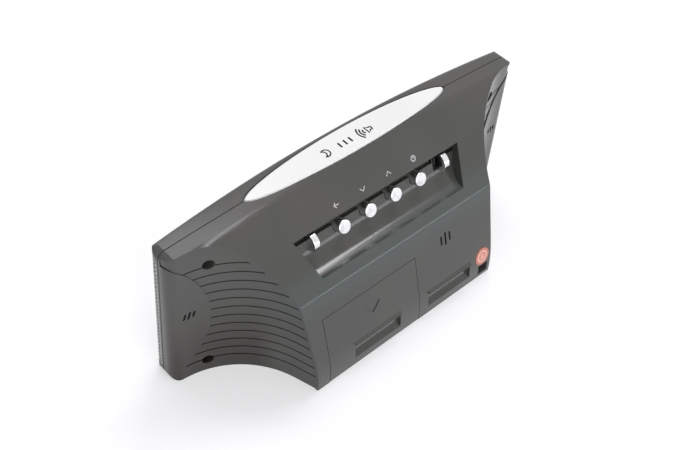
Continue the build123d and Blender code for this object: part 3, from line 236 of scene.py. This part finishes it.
chromeLook = {
    "colour": (0.80, 0.79, 0.80, 1), "shade": (0.62, 0.60, 0.64, 1), "roughness": 0.13,
    "moulding": grey(0.012),
    "floorY": -1.55, "floorZ": 63.33,  # a point on the channel's floor, mm
    "tilt": 65,  # the keys lean this far from upright, degrees
    "platedFrom": -2.5,  # mm above the floor
}


def makeChrome(look):
    # bright down to just below the channel's floor, black moulding further in
    shader = Shader("keyChrome")
    drift = shader.band(shader.noise(220.0, 3.0), 0.4, 0.7)
    tilt = math.radians(look["tilt"])
    behind = shader.axis(1) - look["floorY"] * mm
    above = shader.axis(2) - look["floorZ"] * mm
    plated = behind * math.sin(tilt) + above * math.cos(tilt) > look["platedFrom"] * mm
    chrome = shader.blendColours(drift, look["colour"], look["shade"])
    return shader.set(
        Base_Color=shader.blendColours(plated, look["moulding"], chrome),
        Metallic=plated,
        Roughness=look["roughness"] + shader.noise(400.0, 2.0) * 0.05 + (1 - plated) * 0.3,
    )


def makePlain(name, colour, shade, roughness, metallic=0.0, scale=200.0, bump=0.2, **more):
    # a finish with a soft drift between two colours and a fine grain
    shader = Shader(name)
    drift = shader.band(shader.noise(scale, 3.0), 0.35, 0.68)
    return shader.set(
        Base_Color=shader.blendColours(drift, colour, shade),
        Metallic=metallic,
        Roughness=roughness + (shader.noise(scale * 3, 2.0) - 0.5) * 0.1,
        Normal=shader.bump(shader.noise(scale * 5, 2.0), bump, 0.00002),
        **more,
    )


boardLook = {
    "mask": (0.010, 0.085, 0.035, 1),
    "shade": (0.008, 0.070, 0.030, 1),
    "track": (0.03, 0.17, 0.07, 1),
    "scale": 420.0,
}


def makeBoard(look):
    shader = Shader("boardGreen")
    tracks = shader.node("ShaderNodeTexBrick", {"offset": 0.5}, {
        "Vector": shader.place(), "Scale": look["scale"], "Mortar Size": 0.035,
        "Color1": look["mask"], "Color2": look["shade"], "Mortar": look["track"]})
    return shader.set(
        Base_Color=tracks,
        Roughness=0.38 + shader.noise(180.0) * 0.1,
        Normal=shader.bump(shader.noise(600.0), 0.15, 0.00002),
    )


cellLook = {
    "sleeve": grey(0.03),
    "copper": (0.55, 0.27, 0.10, 1),
    "band": (0.030, 0.0302),  # distances from the middle where the copper comes
}


def makeCell(look):
    # wrapped cells: a dark sleeve with a copper band at one end
    shader = Shader("cellSleeve")
    band = shader.band(shader.axis(0), *look["band"])
    return shader.set(
        Base_Color=shader.blendColours(band, look["sleeve"], look["copper"]),
        Metallic=0.35 + band * 0.4,
        Roughness=0.28 + shader.noise(250.0) * 0.1,
        Normal=shader.bump(shader.noise(900.0), 0.15, 0.00001),
    )


windowLook = {
    "smoke": (0.68, 0.69, 0.70, 1),
    "drift": (0.64, 0.65, 0.67, 1),
    "border": grey(0.004),  # printed black round the display
    "sight": (62.8, 23.8),  # half width and half height of the clear part, mm
    "middle": 39.0,  # its centre height, mm
    "edge": 0.3,  # soft edge of the print, mm
}


def makeWindow(look):
    shader = Shader("smokedWindow")
    aside = abs(shader.axis(0)) - look["sight"][0] * mm
    above = abs(shader.axis(2) - look["middle"] * mm) - look["sight"][1] * mm
    past = shader.node("ShaderNodeMath", {"operation": "MAXIMUM"}, {0: aside, 1: above})
    smoke = shader.blendColours(shader.noise(30.0), look["smoke"], look["drift"])
    return shader.set(
        Base_Color=shader.blendColours(shader.band(past, 0.0, look["edge"] * mm), smoke, look["border"]),
        Roughness=shader.noise(80.0) * 0.012,
        Transmission_Weight=1.0,
        IOR=1.49,
    )


displayLook = {
    "cell": (0.36, 0.40, 0.31, 1),
    "shade": (0.34, 0.385, 0.30, 1),
    "grid": (0.30, 0.34, 0.27, 1),
    "scale": 900.0,
}


def makeDisplayGlass(look):
    shader = Shader("displayGreen")
    cells = shader.node("ShaderNodeTexBrick", {"offset": 0.0}, {
        "Vector": shader.place(), "Scale": look["scale"], "Mortar Size": 0.04,
        "Color1": look["cell"], "Color2": look["shade"], "Mortar": look["grid"]})
    return shader.set(
        Base_Color=cells,
        Roughness=0.22 + shader.noise(90.0) * 0.05,
        Coat_Weight=0.6,
        Coat_Roughness=0.05,
    )


stickerLook = {
    "centre": (-0.0488, 0.0126),  # across and up
    "coral": (0.62, 0.20, 0.14, 1),
    "pale": (0.84, 0.60, 0.50, 1),
    "ringInside": (2.2, 2.5), "ringOutside": (2.9, 3.2),  # radii of the ring's soft edges, mm
    "rows": (-0.95, 0, 0.95),  # heights of the three bars, mm
    "barSide": (0.16, 0.34), "barEnd": (1.0, 1.3),  # their soft edges, mm
}


def makeSticker(look):
    # a coral disc with a pale ring inside its edge and three short pale bars
    shader = Shader("stickerCoral")
    across = (shader.axis(0) - look["centre"][0]) / mm
    up = (shader.axis(2) - look["centre"][1]) / mm
    reach = (across * across + up * up) ** 0.5
    ring = shader.band(reach, *look["ringInside"]) * (1 - shader.band(reach, *look["ringOutside"]))
    rows = [1 - shader.band(abs(up - row), *look["barSide"]) for row in look["rows"]]
    bars = (rows[0] + rows[1] + rows[2]) * (1 - shader.band(abs(across), *look["barEnd"]))
    pale = shader.band(ring + bars, 0.3, 0.7) * (0.55 + shader.noise(600.0) * 0.5)
    return shader.set(
        Base_Color=shader.blendColours(pale, look["coral"], look["pale"]),
        Roughness=0.35 + shader.noise(500.0) * 0.1,
    )


casingPlastic = makeCasing(casingLook)
snoozeWhite = makeSnoozeWhite(snoozeLook)
keyChrome = makeChrome(chromeLook)
blackPlastic = makePlain("blackPlastic", grey(0.012), grey(0.020), 0.45)
screwSteel = makePlain("screwBlack", grey(0.10), grey(0.06), 0.32, 1.0, 350.0)
springNickel = makePlain("springNickel", grey(0.66), grey(0.52), 0.22, 1.0, 500.0)
basketSteel = makePlain("basketSteel", grey(0.45), grey(0.34), 0.35, 1.0, 220.0)
coneFilm = makePlain("coneFilm", grey(0.03), grey(0.015), 0.6, 0.0, 400.0, 0.5)
magnetFerrite = makePlain("magnetFerrite", grey(0.035), grey(0.055), 0.55, 0.3, 500.0)
lightGuide = makePlain("lightGuide", grey(0.8), grey(0.72), 0.3, 0.0, 60.0)
digitInk = makePlain("digitInk", grey(0.008), grey(0.014), 0.4, 0.0, 300.0)
grilleBlack = makePlain("grilleBlack", grey(0.40), grey(0.30), 0.34, 0.8, 600.0)
feltBlack = makePlain("feltBlack", grey(0.006), grey(0.012), 0.9, 0.0, 900.0, 0.6)
printPale = makePlain("printPale", grey(0.62), grey(0.46), 0.5, 0.0, 1500.0)
printDark = makePlain("printDark", grey(0.012), grey(0.022), 0.8, 0.0, 900.0, Specular_IOR_Level=0.05)
boardGreen = makeBoard(boardLook)
displayGreen = makeDisplayGlass(displayLook)
smokedWindow = makeWindow(windowLook)
cellSleeve = makeCell(cellLook)
stickerCoral = makeSticker(stickerLook)

nodeFinish = {
    casingPlastic: ["front_housing", "rear_housing", "battery_door"],
    snoozeWhite: ["snooze_bar"],
    keyChrome: ["back_button", "down_button", "up_button", "set_button",
                "left_slide_knob", "right_slide_knob"],
    blackPlastic: ["display_frame", "voice_chip", "key_switches", "snooze_switches", "slide_switch_bodies",
                   "power_jack"],
    boardGreen: ["main_board", "key_board", "snooze_board"],
    screwSteel: ["housing_screws", "board_screws"],
    springNickel: ["battery_springs", "battery_contacts", "jack_pin"],
    basketSteel: ["speaker_frame"],
    coneFilm: ["speaker_cone"],
    magnetFerrite: ["speaker_magnet"],
    lightGuide: ["backlight_panel"],
    digitInk: ["display_digits"],
    displayGreen: ["display_glass"],
    smokedWindow: ["display_window"],
    cellSleeve: ["battery_cells"],
    stickerCoral: ["round_sticker"],
    grilleBlack: ["left_grille", "right_grille"],
}


def finishNodes(finishes):
    for material, names in finishes.items():
        for name in names:
            data = nodes[name].data
            data.materials.clear()
            data.materials.append(material)
            for face in data.polygons:
                face.material_index = 0


finishNodes(nodeFinish)
print("materials on all nodes")


# Meshes

def makePiece(name, mesh, material, body):
    piece = bpy.data.objects.new(name, mesh)
    bpy.context.scene.collection.objects.link(piece)
    mesh.materials.append(material)
    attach(piece, body)
    return piece


def meshFrom(name, points, faces):
    mesh = bpy.data.meshes.new(name)
    mesh.from_pydata(points, [], faces)
    mesh.validate()
    mesh.update()
    return mesh


def thicken(piece, thickness):
    # thickness in mm, inward from the outer face
    solid = piece.modifiers.new("thickness", "SOLIDIFY")
    solid.thickness = thickness * mm
    solid.offset = -1


# Fine perforated sheets in place of the coarse CAD ones

grilleLook = {
    "inner": 80.15, "low": 4.65, "high": 71.35, "edge": 0.9,  # borders, mm
    "pitch": 2.3, "hole": 0.8,  # spacing of the holes and their radius, mm
    "corners": 10,  # of each hole
    "rim": 0.3, "thickness": 0.14, "sunk": 0.08,  # mm
    "weld": 0.02,  # corners nearer than this become one, mm
    "feltDepth": 0.54, "feltThickness": 0.04,  # mm
    "feltSteps": 40,
}
frontPlan = {"halfWidth": 100.0, "depth": 9.9, "bowSag": 3.9, "corner": 4.5}  # of the front housing, mm
bowRadius = (frontPlan["halfWidth"] ** 2 + frontPlan["bowSag"] ** 2) / (2 * frontPlan["bowSag"])


def frontFace(x):
    # y of the bowed front, mm from the parting plane
    return bowRadius - frontPlan["depth"] - math.sqrt(bowRadius ** 2 - x ** 2)


def makeWrap(look, outset):
    # the grille seen from above: along the bow, round the corner and back to the seam
    # returns a function from a distance along it to a place, and the length of the whole path
    corner = frontPlan["corner"]
    cornerX = frontPlan["halfWidth"] - corner
    cornerY = frontFace(cornerX) + corner
    bowRun = cornerX - look["inner"]
    turn = corner * math.pi / 2
    endRun = -look["edge"] - cornerY

    def spot(run):
        if run < bowRun:
            x = look["inner"] + run
            return (x, frontFace(x) - outset)
        if run < bowRun + turn:
            angle = (run - bowRun) / corner
            reach = corner + outset
            return (cornerX + reach * math.sin(angle), cornerY - reach * math.cos(angle))
        return (cornerX + corner + outset, cornerY + run - bowRun - turn)

    return spot, bowRun + turn + max(endRun, 0)


def makeGrille(name, hand, look):
    spot, total = makeWrap(look, -look["sunk"])
    high = look["high"] - look["low"]
    rim = look["rim"]
    columns = int((total - 2 * rim) // look["pitch"])
    rows = int((high - 2 * rim) // look["pitch"])
    stepU = (total - 2 * rim) / columns
    stepV = (high - 2 * rim) / rows
    points = []
    faces = []

    def put(u, v):
        x, y = spot(u)
        points.append((hand * x * mm, partingY + y * mm, (look["low"] + v) * mm))
        return len(points) - 1

    def quad(a, b, c, d):
        faces.append((a, b, c, d) if hand > 0 else (d, c, b, a))

    def cell(u0, v0, u1, v1):
        # a square cell with a round hole, as a ring of quads
        border = []
        ring = []
        midU, midV = (u0 + u1) / 2, (v0 + v1) / 2
        count = look["corners"]
        for step in range(count):
            angle = 2 * math.pi * (step + 0.5) / count
            cosine, sine = math.cos(angle), math.sin(angle)
            stretch = 1 / max(abs(cosine), abs(sine))
            borderU = midU + cosine * stretch * (u1 - u0) / 2
            borderV = midV + sine * stretch * (v1 - v0) / 2
            border.append(put(borderU, borderV))
            ring.append(put(midU + cosine * look["hole"], midV + sine * look["hole"]))
        for step in range(count):
            after = (step + 1) % count
            quad(border[step], border[after], ring[after], ring[step])

    def strip(u0, v0, u1, v1, pieces):
        for step in range(pieces):
            a = u0 + (u1 - u0) * step / pieces
            b = u0 + (u1 - u0) * (step + 1) / pieces
            quad(put(a, v0), put(b, v0), put(b, v1), put(a, v1))

    for column in range(columns):
        u0 = rim + column * stepU
        shift = stepV / 2 if column % 2 else 0
        if shift:
            strip(u0, rim, u0 + stepU, rim + shift, 1)
            strip(u0, high - rim - shift, u0 + stepU, high - rim, 1)
        for row in range(rows - (1 if shift else 0)):
            v0 = rim + shift + row * stepV
            cell(u0, v0, u0 + stepU, v0 + stepV)
    strip(0, 0, total, rim, columns + 2)
    strip(0, high - rim, total, high, columns + 2)
    strip(0, rim, rim, high - rim, 1)
    strip(total - rim, rim, total, high - rim, 1)
    mesh = meshFrom(name, points, faces)
    form = bmesh.new()
    form.from_mesh(mesh)
    bmesh.ops.remove_doubles(form, verts=form.verts, dist=look["weld"] * mm)
    form.to_mesh(mesh)
    form.free()
    piece = makePiece(name, mesh, grilleBlack, "casing")
    thicken(piece, look["thickness"])
    return piece


def makeFelt(name, hand, look):
    # black cloth stretched right behind the holes
    spot, total = makeWrap(look, -look["feltDepth"])
    points = []
    for step in range(look["feltSteps"] + 1):
        x, y = spot(total * step / look["feltSteps"])
        for height in (look["low"], look["high"]):
            points.append((hand * x * mm, partingY + y * mm, height * mm))
    faces = []
    for step in range(look["feltSteps"]):
        a = 2 * step
        faces.append((a, a + 2, a + 3, a + 1) if hand > 0 else (a + 1, a + 3, a + 2, a))
    piece = makePiece(name, meshFrom(name, points, faces), feltBlack, "casing")
    thicken(piece, look["feltThickness"])
    across = total - look["feltDepth"] * math.pi / 2  # the inner way round the corner is shorter
    across * mm


for side, node, hand in (("left", "left_grille", 1), ("right", "right_grille", -1)):
    grille = makeGrille(side + "GrilleSheet", hand, grilleLook)
    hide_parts(node)
    makeFelt(side + "GrilleFelt", hand, grilleLook)
print("grilles made")


# Prints: small raised inks that follow the surface under them

def strokeOutline(points, width, closed):
    # a flat ribbon along a line of 2-D points
    count = len(points)
    left = []
    right = []
    for index, point in enumerate(points):
        before = points[index - 1] if index or closed else point
        after = points[(index + 1) % count] if index < count - 1 or closed else point
        along = Vector((after[0] - before[0], after[1] - before[1])).normalized()
        across = Vector((-along.y, along.x)) * width / 2
        left.append((point[0] + across.x, point[1] + across.y))
        right.append((point[0] - across.x, point[1] - across.y))
    return left, right


def arc(centre, radius, start, end, steps=14):
    return [(centre[0] + radius * math.cos(math.radians(start + (end - start) * step / steps)),
             centre[1] + radius * math.sin(math.radians(start + (end - start) * step / steps)))
            for step in range(steps + 1)]


def makePrint(name, strokes, toWorld, material, body, height):
    # strokes are (points, width, closed) in mm; toWorld takes across, up and out in mm
    points = []
    faces = []
    for line, width, closed in strokes:
        left, right = strokeOutline(line, width, closed)
        count = len(line)
        base = len(points)
        for index in range(count):
            for flat in (left[index], right[index]):
                points.append(toWorld(flat[0], flat[1], height))
                points.append(toWorld(flat[0], flat[1], -height))
        spans = count if closed else count - 1
        for index in range(spans):
            a = base + 4 * index
            b = base + 4 * ((index + 1) % count)
            faces += [(a, b, b + 2, a + 2), (a + 1, a + 3, b + 3, b + 1), (a, a + 1, b + 1, b),
                      (a + 2, b + 2, b + 3, a + 3)]
        if not closed:
            end = base + 4 * (count - 1)
            faces += [(base, base + 2, base + 3, base + 1), (end, end + 1, end + 3, end + 2)]
    mesh = meshFrom(name, points, faces)
    form = bmesh.new()
    form.from_mesh(mesh)
    bmesh.ops.recalc_face_normals(form, faces=form.faces)
    form.to_mesh(mesh)
    form.free()
    makePiece(name, mesh, material, body)


keyLook = {
    "pitch": 15.1,  # between neighbouring keys, mm
    "down": 11.2,  # from the slope's top edge, mm
    "size": 2.7, "stroke": 0.42, "height": 0.03,  # of a sign, mm
}


def slopeSpot(middleX, down):
    # a place on the slope; the sign's right is -X, as it is read from behind
    fall = Vector((0, math.cos(slopeAngle), -math.sin(slopeAngle)))
    out = Vector((0, math.sin(slopeAngle), math.cos(slopeAngle)))

    def toWorld(across, up, lift):
        spot = slopeStart + fall * (down - up) * mm + out * lift * mm
        spot.x = (middleX - across) * mm
        return spot

    return toWorld


def keySigns(look):
    # an arrow back, a sign down, a sign up and a small clock
    half = look["size"] / 2
    stroke = look["stroke"]
    shaft = [(half, 0), (-half, 0)]
    head = [(-half * 0.2, half * 0.8), (-half, 0), (-half * 0.2, -half * 0.8)]
    lower = [(-half, half * 0.5), (0, -half * 0.7), (half, half * 0.5)]
    higher = [(-half, -half * 0.5), (0, half * 0.7), (half, -half * 0.5)]
    dial = arc((0, 0), half * 0.9, 0, 360)[:-1]
    hands = [(0, half * 0.55), (0, 0), (half * 0.45, 0)]
    return {
        "leaveSign": [(shaft, stroke, False), (head, stroke, False)],
        "lowerSign": [(lower, stroke, False)],
        "raiseSign": [(higher, stroke, False)],
        "chooseSign": [(dial, stroke, True), (hands, stroke, False)],
    }


for place, (name, strokes) in enumerate(keySigns(keyLook).items()):
    middleX = keyLook["pitch"] * (1.5 - place)
    makePrint(name, strokes, slopeSpot(middleX, keyLook["down"]), printPale, "casing",
              keyLook["height"])

barLook = {
    "endTop": 79.32, "crown": 1.98, "half": 57.3,  # top at the bar's ends, its rise and half its length, mm
    "middle": 4.0, "back": 1.2,  # where the signs sit, mm from the bar's middle and the parting plane
    "stroke": 0.75, "height": 0.03,
    "moon": 11.0, "moonRadius": 2.1, "bite": 12.5, "biteRadius": 1.75,
    "horn": -12.0, "waves": (1.5, 2.9, 4.3), "waveSpread": 48,  # degrees to each side
    "bars": (-3, 0, 3), "barHalf": 1.5,
}


def barTop(x):
    radius = (barLook["half"] ** 2 + barLook["crown"] ** 2) / (2 * barLook["crown"])
    return barLook["endTop"] + barLook["crown"] - radius + math.sqrt(radius ** 2 - x ** 2)


def barSpot(across, up, lift):
    # the bar's signs are read from the front
    x = barLook["middle"] + across
    return Vector((x * mm, partingY + (barLook["back"] + up) * mm, (barTop(x) + lift) * mm))


def barSigns(look):
    # a horn with sound waves for speech, three short bars, and a moon for rest
    stroke = look["stroke"]
    outside = arc((look["moon"], 0), look["moonRadius"], 50, 310)
    inside = arc((look["bite"], 0), look["biteRadius"], 247, 113)
    moon = [(outside + inside, stroke * 0.8, True)]
    spread = look["waveSpread"]
    waves = [(arc((look["horn"], 0), radius, -spread, spread), stroke, False) for radius in look["waves"]]
    outline = [(-3.2, -0.8), (-2, -0.8), (-0.4, -2), (-0.4, 2), (-2, 0.8), (-3.2, 0.8)]
    horn = [([(look["horn"] + across, up) for across, up in outline], stroke, True)]
    bars = [([(x, -look["barHalf"]), (x, look["barHalf"])], stroke * 1.2, False) for x in look["bars"]]
    return moon + waves + horn + bars


makePrint("barSign", barSigns(barLook), barSpot, printDark, "snooze", barLook["height"])
print("prints made")


# Stage: a white floor and background, soft lamps

stageLook = {
    "floorSize": 6.0,
    "floor": (0.95, 0.963, 0.99, 1),
    "haze": 0.33,  # how far the shadow is paled
    "plain": 1.3,  # strength of the plain white
    "near": 0.45, "far": 0.95,  # where the lit floor turns plain white
    "sky": 0.36,  # light from all round
}


def seenWhite(shader):
    # 1 for what the camera sees straight on, mirrored or through glass
    rays = [shader.node("ShaderNodeLightPath", {}, {}, "Is " + kind + " Ray")
            for kind in ("Camera", "Glossy", "Transmission")]
    return shader.node("ShaderNodeMath", {"operation": "MINIMUM"}, {0: rays[0] + rays[1] + rays[2], 1: 1.0})


def makeStageMaterial(look):
    # lit white near the clock, where its shadow falls, and evenly white further out
    shader = Shader("stageWhite")
    reach = shader.node("ShaderNodeVectorMath", {"operation": "LENGTH"}, {0: shader.place()}, 1)
    plain = shader.node("ShaderNodeEmission", {}, {"Color": grey(1), "Strength": look["plain"]})
    shader.set(Base_Color=look["floor"], Roughness=0.9)
    lit = Flow(shader, shader.surface.outputs[0])
    away = look["haze"] + shader.band(reach, look["near"], look["far"]) * (1 - look["haze"])
    mixed = shader.node("ShaderNodeMixShader", {}, {0: away * seenWhite(shader), 1: lit, 2: plain})
    shader.feed(shader.tree.nodes["Material Output"].inputs["Surface"], mixed)
    return shader.material


def makeFloor(look):
    half = look["floorSize"] / 2
    corners = [(-half, -half, 0), (half, -half, 0), (half, half, 0), (-half, half, 0)]
    mesh = meshFrom("floor", corners, [(0, 1, 2, 3)])
    mesh.materials.append(makeStageMaterial(look))
    floor = bpy.data.objects.new("floor", mesh)
    bpy.context.scene.collection.objects.link(floor)


def makeWorld(look):
    shader = Shader("studio", bpy.data.worlds.new("studio"))
    bpy.context.scene.world = shader.material
    back = shader.tree.nodes["Background"]
    shader.feed(back.inputs["Color"], grey(1))
    shader.feed(back.inputs["Strength"], look["sky"] + seenWhite(shader) * (1 - look["sky"]))


lampLooks = {
    "overLamp": {"place": (-0.40, -0.21, 0.98), "target": (0, 0, 0.05), "size": (0.5, 0.16),
                 "power": 3.4, "colour": (1, 0.96, 0.99)},
    "rollLamp": {"place": (-0.10, 0.22, 1.0), "target": (0.03, 0, 0.07), "size": (0.55, 0.12),
                 "power": 1.3, "colour": (1, 0.96, 1)},
    "topLamp": {"place": (-0.32, -0.44, 0.98), "target": (0.05, 0, 0.08), "size": (0.55, 0.26),
                "power": 1.4, "colour": (0.97, 0.95, 1)},
    "keyLamp": {"place": (0.3, 1.05, 0.36), "target": (0, 0, 0.04), "size": (0.6, 0.5),
                "power": 5.5, "colour": (1, 1, 1)},
    "foldLamp": {"place": (-0.75, 1.3, 0.14), "target": (0, 0, 0.05), "size": (0.5, 0.16),
                 "power": 1, "colour": (0.9, 0.98, 1)},
    "backLamp": {"place": (0.1, -0.9, 0.7), "target": (0, 0, 0.05), "size": (0.8, 0.5),
                 "power": 2, "colour": (1, 1, 1)},
}


def makeLamp(name, look):
    data = bpy.data.lights.new(name, "AREA")
    data.shape = "RECTANGLE"
    data.size, data.size_y = look["size"]
    data.energy = look["power"]
    data.color = look["colour"]
    lamp = bpy.data.objects.new(name, data)
    bpy.context.scene.collection.objects.link(lamp)
    aim = Vector(look["target"]) - Vector(look["place"])
    turn = aim.to_track_quat("-Z", "Y").to_matrix()
    lamp.matrix_world = Matrix.Translation(look["place"]) @ turn.to_4x4()


makeFloor(stageLook)
makeWorld(stageLook)
for name, look in lampLooks.items():
    makeLamp(name, look)
print("stage and lamps set")
